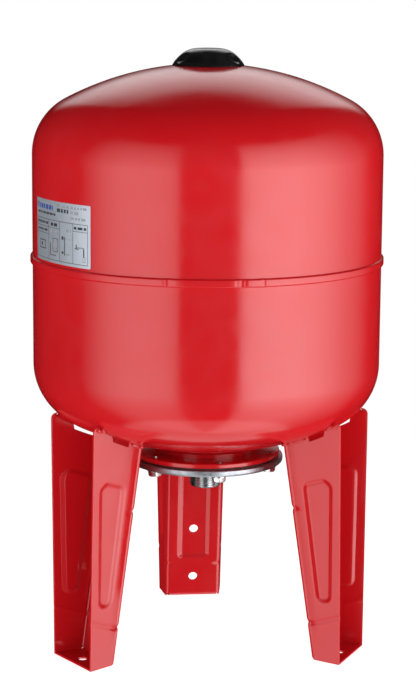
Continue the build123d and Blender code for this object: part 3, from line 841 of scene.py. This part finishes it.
def thickened(name, points, faces, materials):
    """The leg's outside given its sheet thickness and softened edges."""
    # The second material is the lighter enamel copy, a painted highlight for the sheet's cut rims
    sheet = new_piece(name, points, faces, [materials["red_enamel"], materials["enamel_painted_edge_highlight"]], 50.0)
    shape = bmesh.new()
    shape.from_mesh(sheet.data)
    bmesh.ops.remove_doubles(shape, verts=shape.verts, dist=0.02 * MM)
    shape.to_mesh(sheet.data)
    shape.free()
    thick = sheet.modifiers.new("sheet", "SOLIDIFY")
    thick.thickness = SHEET * MM
    thick.offset = -1.0
    thick.use_even_offset = True
    # The sheet's cut rims take the lighter enamel copy, a painted edge highlight
    thick.material_offset_rim = 1
    edge = sheet.modifiers.new("edge", "BEVEL")
    edge.width = 0.3 * MM
    edge.segments = 2
    edge.limit_method = "ANGLE"
    edge.angle_limit = math.radians(55)
    apply_modifiers(sheet)
    sheet.data.polygons.foreach_set("use_smooth", [True] * len(sheet.data.polygons))
    sheet.data.set_sharp_from_angle(angle=math.radians(50))
    return sheet


def make_legs(materials):
    """Three pressed legs and their welds to the lower head."""
    for i, (name, azimuth) in enumerate(LEG_AZIMUTHS.items()):
        slot = SLOTS[name]
        points, faces, columns, tops = make_leg_mesh(slot)
        leg = thickened("pressed_leg_" + name, points, faces, materials)
        leg.data.transform(turn_to(azimuth))
        settle(leg, "vessel", "red_enamel", "leg_" + name)
        paths = leg_bead_paths(columns, tops, slot).values()
        runs = [weld_bead(f"run_{k}", path, materials, 10 * i + k) for k, path in enumerate(paths)]
        beads = joined("weld_beads_" + name, runs)
        beads.data.transform(turn_to(azimuth))
        settle(beads, "vessel", "red_enamel", "leg_welds_" + name)


# ---------------------------------------------------------------- flange and water connection


def thread_height(turns):
    """Whitworth form: 0 in the root, 1 on the crest, by the share of a turn."""
    share = turns % 1.0
    ramp = abs(share * 2 - 1)
    return smoothstep(0.12, 0.88, ramp)


def make_nipple(materials):
    """The G1 nipple with its real helical thread."""
    segments = 160
    thread_end = PLATE_BOTTOM - NIPPLE_WELD
    heights = spread([NIPPLE_END, thread_end], THREAD_PITCH / 12) + spread([thread_end, NIPPLE_TOP], 1.2)[1:]
    points = []
    for z in heights:
        chamfer = NIPPLE_R - 1.9 + (z - NIPPLE_END) * 1.3
        for j in range(segments):
            turns = z / THREAD_PITCH - j / segments
            fade = smoothstep(thread_end, thread_end - 1.5, z)
            r = NIPPLE_R - THREAD_DEPTH * (1 - thread_height(turns)) * fade
            points.append(polar(min(r, chamfer), 360.0 * j / segments, z))
    bore = [(NIPPLE_BORE, NIPPLE_TOP), (NIPPLE_BORE, NIPPLE_END + 0.5), (NIPPLE_BORE + 0.5, NIPPLE_END)]
    for r, z in bore:
        points += [polar(r, 360.0 * j / segments, z) for j in range(segments)]
    faces = ring_faces(len(heights) + len(bore), segments, True)
    piece = new_piece("threaded_nipple", points, faces, [materials["zinc_fastener"]], 50.0)
    settle(piece, "vessel", "zinc_fastener", "water_nipple")


def around_bolts(points, faces):
    """Copies of one bolt part made on +Y, one for each flange bolt."""
    all_points = []
    all_faces = []
    for i in range(BOLT_COUNT):
        turn = turn_to(BOLT_FIRST + i * 360.0 / BOLT_COUNT)
        offset = len(all_points)
        all_points += [turn @ (Vector(p) + Vector((0, BOLT_CIRCLE, 0))) for p in points]
        all_faces += [tuple(offset + k for k in f) for f in faces]
    return all_points, all_faces


def about_axis(rows):
    """Points of rows of (radius, height), each row spaced evenly round the axis."""
    points = []
    for row in rows:
        for k, (r, z) in enumerate(row):
            angle = math.tau * k / len(row)
            points.append((r * math.cos(angle), r * math.sin(angle), z))
    return points


def hex_radius(angle):
    """Radius of a bolt head with slightly rounded corners at an angle."""
    sector = (angle + math.pi / 6) % (math.pi / 3) - math.pi / 6
    return min(BOLT_FLATS / 2 / math.cos(sector), BOLT_FLATS / 2 * 1.135)


def make_bolts(materials):
    """Hexagon bolts with chamfered heads and threaded tips, and their washers."""
    low, high = box_mm("flange_bolts")
    bore, rim, thickness = WASHER
    head_top = PLATE_BOTTOM - thickness
    sides = 72
    outline = [hex_radius(math.tau * k / sides) for k in range(sides)]
    crown = [(0.86, low.z), (0.93, low.z + 0.1), (1.0, low.z + 0.55), (1.08, low.z + 1.1), (1.2, low.z + 1.8)]
    crown += [(1.2, head_top - 0.3), (1.02, head_top)]
    rows = [[(min(r, share * BOLT_FLATS / 2), z) for r in outline] for share, z in crown]
    rows.append([(BOLT_R, head_top)] * sides)
    for z in spread([head_top + 0.1, high.z - 0.7], BOLT_PITCH / 6):
        roots = [1 - thread_height(z / BOLT_PITCH - k / sides) for k in range(sides)]
        rows.append([(BOLT_R - BOLT_THREAD_DEPTH * root, z) for root in roots])
    rows.append([(3.3, high.z)] * sides)
    top = (len(rows) - 1) * sides
    dish = len(rows) * sides
    rows.append([(4.6, low.z + 0.25)] * sides)
    faces = ring_faces(len(rows) - 1, sides, False)
    faces += [(k, dish + k, dish + (k + 1) % sides, (k + 1) % sides) for k in range(sides)]
    faces.append(tuple(range(dish, dish + sides))[::-1])
    faces.append(tuple(range(top, top + sides)))
    bolts = new_piece("hex_bolts", *around_bolts(about_axis(rows), faces), [materials["zinc_fastener"]], 35.0)
    settle(bolts, "vessel", "zinc_fastener", "flange_bolts")
    corners = [(bore, head_top), (rim, head_top), (rim, PLATE_BOTTOM), (bore, PLATE_BOTTOM)]
    rows = [[corner] * 64 for corner in rounded(corners, 0.3, 3)]
    copies = around_bolts(about_axis(rows), ring_faces(len(rows), 64, True))
    washers = new_piece("plain_washers", *copies, [materials["zinc_fastener"]], 35.0)
    settle(washers, "vessel", "zinc_fastener", "flange_washers")


# ---------------------------------------------------------------- gas valve cover and cap

SCOOPS = (-66.0, 54.0, 174.0)
SCOOP_R = 13.0
SCOOP_CENTRE = (38.2, 627.2)
SCOOP_SOFTNESS = 0.5

# Radius and drop below the top of the points that the cover's outline runs through
COVER_CROWN = ((0.0, 0.0), (8.0, 0.12), (14.5, 0.55), (19.6, 1.75))
COVER_SIDE = ((25.2, 4.4), (30.4, 8.6), (34.6, 13.2), (37.2, 17.2))


def scooped(point, radius):
    """Pushes a point of the cover clear of the three finger scoops."""
    p = Vector(point)
    for azimuth in SCOOPS:
        centre = Vector(polar(SCOOP_CENTRE[0], azimuth, SCOOP_CENTRE[1]))
        away = p - centre
        distance = away.length
        short = (radius - distance) / SCOOP_SOFTNESS
        gain = SCOOP_SOFTNESS * math.log1p(math.exp(min(short, 40.0)))
        p = centre + away * ((distance + gain) / distance)
    return p


def cover_outline(inset):
    """The cover's outside, moved in by inset, from its middle out and down to the rim."""
    top = COVER_TOP - inset
    knots = COVER_CROWN + COVER_SIDE
    line = [Vector((max(r - inset * min(r / 30.0, 1.0), 0.0), top - drop)) for r, drop in knots]
    control = [Vector((-line[1].x, line[1].y)), *line, line[-1] * 2 - line[-2]]
    curve = []
    for a, b, c, d in zip(control, control[1:], control[2:], control[3:]):
        for k in range(1, 9):
            t = k / 8
            q = b * 2 + (c - a) * t + (a * 2 - b * 5 + c * 4 - d) * t**2 + (b * 3 - a - c * 3 + d) * t**3
            curve.append((min(q.x * 0.5, COVER_R - inset), min(q.y * 0.5, top)))
    curve = [point for point in curve if point[1] > COVER_BASE + 0.1]
    return curve + [(COVER_R - inset, COVER_BASE)]


def make_cover(materials):
    """The glossy moulded cover, its scoops and the inner skirt."""
    segments = 288
    outer = cover_outline(0.0)
    inner = cover_outline(COVER_WALL)
    points = []
    for outline, radius in ((outer, SCOOP_R), (inner[::-1], SCOOP_R + COVER_WALL)):
        for r, z in outline:
            points += [scooped(polar(r, 360.0 * j / segments, z), radius) for j in range(segments)]
    rings = len(outer) + len(inner)
    faces = ring_faces(rings, segments, False)
    for ring, height, order in ((0, outer[0][1], -1), (rings - 1, inner[0][1], 1)):
        centre = len(points)
        points.append(Vector((0, 0, height)))
        for j in range(segments):
            pair = (ring * segments + j, ring * segments + (j + 1) % segments)
            faces.append((centre, *pair[::order]))
    near, far, low = COVER_SKIRT
    roof = COVER_TOP - COVER_WALL
    skirt = rounded([(near, low), (far, low), (far, roof), (near, roof)], [0.3, 0.3, 0, 0], 3)
    start = len(points)
    for r, z in skirt:
        points += [Vector(polar(r, 360.0 * j / 96, z)) for j in range(96)]
    faces += ring_faces(len(skirt), 96, True, start)
    piece = new_piece("moulded_cover", points, faces, [materials["black_plastic"]], 40.0)
    settle(piece, "cover", "black_plastic", "valve_cover")


def make_spring(materials):
    """The valve core's return spring, coiled to fill its CAD node's box; the real spring shortens as the pin
    goes down.
    """
    low, high = box_mm("valve_core_spring")
    sides = 10
    steps = 240
    radius = (high.x - low.x) / 2 - SPRING_WIRE
    height = high.z - low.z - 2 * SPRING_WIRE
    points = []
    for i in range(steps + 1):
        angle = math.tau * SPRING_TURNS * i / steps
        outward = Vector((math.cos(angle), math.sin(angle), 0.0))
        centre = outward * radius + Vector((0, 0, low.z + SPRING_WIRE + height * i / steps))
        for j in range(sides):
            turn = math.tau * j / sides
            points.append(centre + (outward * math.cos(turn) + Vector((0, 0, math.sin(turn)))) * SPRING_WIRE)
    faces = ring_faces(steps + 1, sides, False)
    faces.append(tuple(range(sides))[::-1])
    faces.append(tuple(range(steps * sides, (steps + 1) * sides)))
    piece = new_piece("coiled_spring", points, faces, [materials["spring_steel"]], 60.0)
    settle(piece, "vessel", "spring_steel", "valve_core_spring")
    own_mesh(piece)


def make_dust_cap(materials):
    """The small screw cap with grip ribs."""
    inside = CAP_TOP - 1.0
    corners = [(CAP_BORE, CAP_BASE), (CAP_R - 0.2, CAP_BASE), (CAP_R, CAP_BASE + 0.5), (CAP_R, CAP_TOP)]
    corners += [(0.05, CAP_TOP), (0.05, inside), (CAP_BORE, inside)]
    outline = rounded(corners, [0, 0.1, 0.1, 1.0, 0, 0, 0], 5)

    def ribbed(r, azimuth, z):
        grip = smoothstep(CAP_R - 0.3, CAP_R, r) * smoothstep(CAP_TOP - 1.2, CAP_TOP - 2.0, z)
        return (r - 0.28 * grip * (0.5 + 0.5 * math.cos(math.radians(azimuth) * 24)), azimuth, z)

    piece = lathe("ribbed_cap", outline, 144, [materials["black_plastic"]], ribbed, 40.0)
    settle(piece, "dust_cap", "black_plastic", "valve_dust_cap")


# ---------------------------------------------------------------- rating label

LABEL_R = SHELL_R + 0.2
PRINT_R = LABEL_R + 0.06
FILM_THICKNESS = 0.2
FILM_CORNER = 0.4
PRINT_THICKNESS = 0.08


def patch(start, end, low, high, radius, thickness, corner=0.0):
    """Points and faces of a thin curved plate on the shell, in azimuth and height."""
    columns = max(2, int((end - start) / 0.6) + 2)
    width = math.radians(end - start) * radius
    rows = 7 if corner else 2
    points = []
    for depth in (0.0, -thickness):
        for i in range(rows):
            v = i / (rows - 1)
            for j in range(columns):
                u = j / (columns - 1)
                away = min(u, 1 - u) * width
                cut = corner - math.sqrt(max(corner**2 - max(corner - away, 0) ** 2, 0)) if corner else 0.0
                z = low + cut + (high - low - 2 * cut) * v
                points.append(polar(radius + depth, start + (end - start) * u, z))
    faces = sheet_faces(rows, columns)
    faces += [f[::-1] for f in sheet_faces(rows, columns, rows * columns)]
    across = list(range(columns))
    up = [i * columns for i in range(1, rows - 1)]
    last = (rows - 1) * columns
    rim = across + [k + columns - 1 for k in up] + [last + k for k in across[::-1]] + up[::-1]
    for a, b in zip(rim, rim[1:] + rim[:1]):
        faces.append((b, a, a + rows * columns, b + rows * columns))
    return points, faces


class Print:
    """Collects printed areas of one ink and makes them one piece."""

    def __init__(self, name, ink):
        self.name = name
        self.ink = ink
        self.points = []
        self.faces = []

    def area(self, start, end, low, high):
        points, faces = patch(start, end, low, high, PRINT_R, PRINT_THICKNESS)
        offset = len(self.points)
        self.points += points
        self.faces += [tuple(offset + k for k in f) for f in faces]

    def words(self, start, end, low, high, seed):
        """Dashes of word length along one line, with no letters."""
        rng = random.Random(seed)
        at = start
        while at < end:
            length = rng.uniform(0.7, 2.2)
            self.area(at, min(at + length, end), low, high)
            at += length + rng.uniform(0.35, 0.6)

    def frame(self, start, end, low, high, line):
        """A rectangle's four sides; line is the height of a line in millimetres."""
        turn = math.degrees(line / PRINT_R)
        self.area(start, end, low, low + line)
        self.area(start, end, high - line, high)
        self.area(start, start + turn, low + line, high - line)
        self.area(end - turn, end, low + line, high - line)

    def make(self, materials):
        piece = new_piece(self.name, self.points, self.faces, [materials[self.ink]], 30.0)
        settle(piece, "vessel", "label_film")


def make_label(materials):
    """The silver rating label with generic dashes, lines and pictograms."""
    points, faces = patch(*LABEL_SPAN, *LABEL_HEIGHTS, LABEL_R, FILM_THICKNESS, FILM_CORNER)
    film_piece = new_piece("label_patch", points, faces, [materials["label_film"]], 30.0)
    settle(film_piece, "vessel", "label_film", "rating_label")
    blue = Print("label_print_blue", "ink_blue")
    dark = Print("label_print_dark", "ink_dark")
    grey = Print("label_print_grey", "ink_grey")
    left, right, low, high = TABLE
    first, second, third = TABLE_COLUMNS
    lines = (
        (blue, -73.6, -63.0, 471.8, 476.4, 21),
        (dark, -75.4, -61.8, 466.6, 468.8, 22),
        (grey, -60.8, -46.2, 476.2, 478.4, 23),
        (dark, -60.8, -54.2, 471.0, 474.6, 24),
        (grey, -53.6, -49.4, 470.8, 473.8, 25),
        (grey, -53.6, -46.6, 465.4, 468.0, 26),
        (dark, left + 0.4, first - 0.4, 456.6, 459.2, 31),
        (dark, left + 0.4, first - 0.4, 449.4, 451.6, 32),
        (dark, first + 1.6, second - 1.4, 456.0, 459.2, 33),
        (grey, first + 0.6, second - 0.6, 449.2, 451.4, 34),
        (grey, second + 3.6, third - 0.8, 452.4, 455.0, 35),
        (dark, third + 0.6, right - 0.6, 456.4, 459.0, 36),
    )
    for ink, *place in lines:
        ink.words(*place)
    rules = [(column, column + 0.16, low, high) for column in TABLE_COLUMNS]
    for start, end, height in ((left, second, 454.0), (left, first, 447.0), (third, right, 454.2)):
        rules.append((start, end, height, height + 0.45))
    for place in rules:
        dark.area(*place)
    frames = (
        (dark, left, right, low, high, 0.5),
        (dark, left + 2.4, first - 2.2, 431.0, 440.0, 0.9),
        (dark, first + 2.8, second - 0.9, 430.5, 444.0, 0.7),
        (grey, third + 4.6, third + 5.7, 424.6, 430.0, 0.6),
    )
    for ink, *place in frames:
        ink.frame(*place)
    # A bar by the heading, then a gauge, a vessel on its pipe, a two-ended rod and a tap over a pipe
    areas = (
        (blue, -75.6, -74.4, 471.6, 477.4),
        (dark, left + 3.8, left + 4.8, 434.0, 437.4),
        (grey, first + 3.5, second - 1.6, 432.5, 442.0),
        (dark, first + 1.0, first + 1.4, 427.0, 439.0),
        (dark, first + 1.0, second - 2.2, 426.4, 427.1),
        (dark, second + 2.6, second + 3.0, 428.5, 447.0),
        (dark, second + 1.2, second + 2.2, 444.2, 447.4),
        (dark, second + 1.2, second + 2.2, 430.0, 432.4),
        (grey, second + 3.6, third - 1.2, 444.8, 445.6),
        (grey, second + 3.6, third - 1.6, 429.6, 430.4),
        (dark, third + 0.9, third + 2.9, 436.8, 437.7),
        (dark, third + 1.5, third + 1.9, 437.7, 441.6),
        (grey, third + 1.9, third + 5.2, 438.0, 439.2),
        (dark, third + 4.8, third + 5.3, 429.8, 438.0),
    )
    for ink, *place in areas:
        ink.area(*place)
    for ink in (blue, dark, grey):
        ink.make(materials)


# ---------------------------------------------------------------- stage


def light_curve(nodes, angle, stops, reach):
    """A smooth curve of brightness over an angle from -reach to reach."""
    inputs = {"Value": angle, "From Min": -reach, "From Max": reach}
    share = nodes.add("ShaderNodeMapRange", inputs).outputs["Result"]
    curve = nodes.add("ShaderNodeFloatCurve", {"Value": share})
    line = curve.mapping.curves[0]
    line.points[0].location = (0.0, stops[0][1])
    line.points[1].location = (1.0, stops[-1][1])
    for place, brightness in stops:
        line.points.new((place + reach) / (2 * reach), brightness)
    curve.mapping.update()
    return curve.outputs["Value"]


def make_studio():
    """A surround: tall soft boxes, a back screen and bright ground, or a room for matt surfaces."""
    world = bpy.data.worlds.new("studio")
    bpy.context.scene.world = world
    world.use_nodes = True
    nodes = Nodes(world.node_tree)
    nodes.tree.nodes.clear()
    step = nodes.step

    def round_about(angle, stops, strength=1.0):
        return step("MULTIPLY", light_curve(nodes, angle, stops, 180.0), strength)

    def upwards(stops, strength=1.0):
        return step("MULTIPLY", light_curve(nodes, height, stops, 90.0), strength)

    def glow(strength):
        inputs = {"Color": (1.0, 1.0, 1.0), "Strength": strength}
        return nodes.add("ShaderNodeBackground", inputs).outputs["Background"]

    direction = nodes.add("ShaderNodeTexCoord").outputs["Generated"]
    inputs = {"Vector": direction, "Angle": -math.radians(CAMERA_AZIMUTH)}
    turned = nodes.add("ShaderNodeVectorRotate", inputs, rotation_type="Z_AXIS").outputs["Vector"]
    x, y, z = nodes.add("ShaderNodeSeparateXYZ", {"Vector": turned}).outputs
    degree = 180.0 / math.pi
    azimuth = step("MULTIPLY", step("ARCTAN2", x, step("MULTIPLY", y, -1.0)), degree)
    behind = step("MULTIPLY", step("ARCTAN2", x, y), degree)
    height = step("MULTIPLY", step("ARCSINE", z), degree)
    left = round_about(azimuth, LEFT_BOX, LEFT_STRENGTH)
    right = round_about(azimuth, RIGHT_BOX, RIGHT_STRENGTH)
    boxes = step("MULTIPLY", step("ADD", left, right), upwards(BOX_HEIGHT))
    screen = step("MULTIPLY", round_about(behind, BACK_BOX), upwards(BACK_HEIGHT, BACK_STRENGTH))
    ground = upwards(GROUND_HEIGHT, GROUND_STRENGTH)
    mirrored = step("MAXIMUM", step("ADD", step("ADD", boxes, screen), ground), 0.0)
    room = step("MULTIPLY", round_about(azimuth, ROOM_TURN), upwards(ROOM_HEIGHT, ROOM_STRENGTH))
    path = nodes.add("ShaderNodeLightPath").outputs
    seen = nodes.blend(path["Is Glossy Ray"], glow(step("MAXIMUM", room, 0.0)), glow(mirrored))
    seen = nodes.blend(path["Is Camera Ray"], seen, glow(1.0))
    nodes.add("ShaderNodeOutputWorld", {"Surface": seen})


def make_floor():
    """A pale round floor that fades into the surround."""
    rings = spread([40.0, FLOOR_R], 60.0)
    points = [polar(r, 360.0 * j / 96, 0.0) for r in rings for j in range(96)]
    faces = ring_faces(len(rings), 96, False)
    faces.append(tuple(range(96))[::-1])
    shader = Shader("pale_floor")
    others = {"Specular IOR Level": 0.0, "Emission Color": (1.0, 1.0, 1.0), "Emission Strength": FLOOR_GLOW}
    shader.finish((0.62, 0.62, 0.62), 0.9, **others)
    length = shader.add("ShaderNodeVectorMath", {0: shader.place}, operation="LENGTH").outputs["Value"]
    fade = shader.ramp(length, 0.0, 1.0, *FLOOR_FADE)
    clear = shader.add("ShaderNodeBsdfTransparent").outputs["BSDF"]
    both = shader.blend(fade, shader.bsdf.outputs["BSDF"], clear)
    shader.feed(shader.tree.nodes["Material Output"].inputs["Surface"], both)
    floor = new_piece("floor", points, faces, [shader.material])
    floor.visible_glossy = False


def make_camera():
    """The camera at the product view."""
    data = bpy.data.cameras.new("camera")
    data.lens = CAMERA_LENS
    data.sensor_width = 36.0
    camera = bpy.data.objects.new("camera", data)
    bpy.context.scene.collection.objects.link(camera)
    camera.location = polar(CAMERA_DISTANCE, CAMERA_AZIMUTH, CAMERA_HEIGHT)
    forward = Vector(CAMERA_FORWARD).normalized()
    side = forward.cross(Vector((0, 0, 1))).normalized()
    up = side.cross(forward)
    turn = Matrix((side, up, -forward)).transposed().to_4x4()
    camera.rotation_euler = (turn @ Matrix.Rotation(math.radians(CAMERA_ROLL), 4, "Z")).to_euler()
    bpy.context.scene.camera = camera


# ---------------------------------------------------------------- build


def dress_nodes(materials):
    """Gives each carried-over CAD node the finish of its slot."""
    for entry in frame["record"]["subparts"]:
        slots = NODES[entry["node"]].data.materials
        slots.clear()
        slots.append(materials[entry["material_slot"]])


def main():
    bpy.context.scene.view_settings.view_transform = "Standard"
    make_camera()
    make_studio()
    make_floor()
    materials = make_materials()
    dress_nodes(materials)
    make_shells(materials)
    make_girth_weld(materials)
    make_legs(materials)
    make_nipple(materials)
    make_bolts(materials)
    make_cover(materials)
    make_dust_cap(materials)
    make_spring(materials)
    make_label(materials)


main()
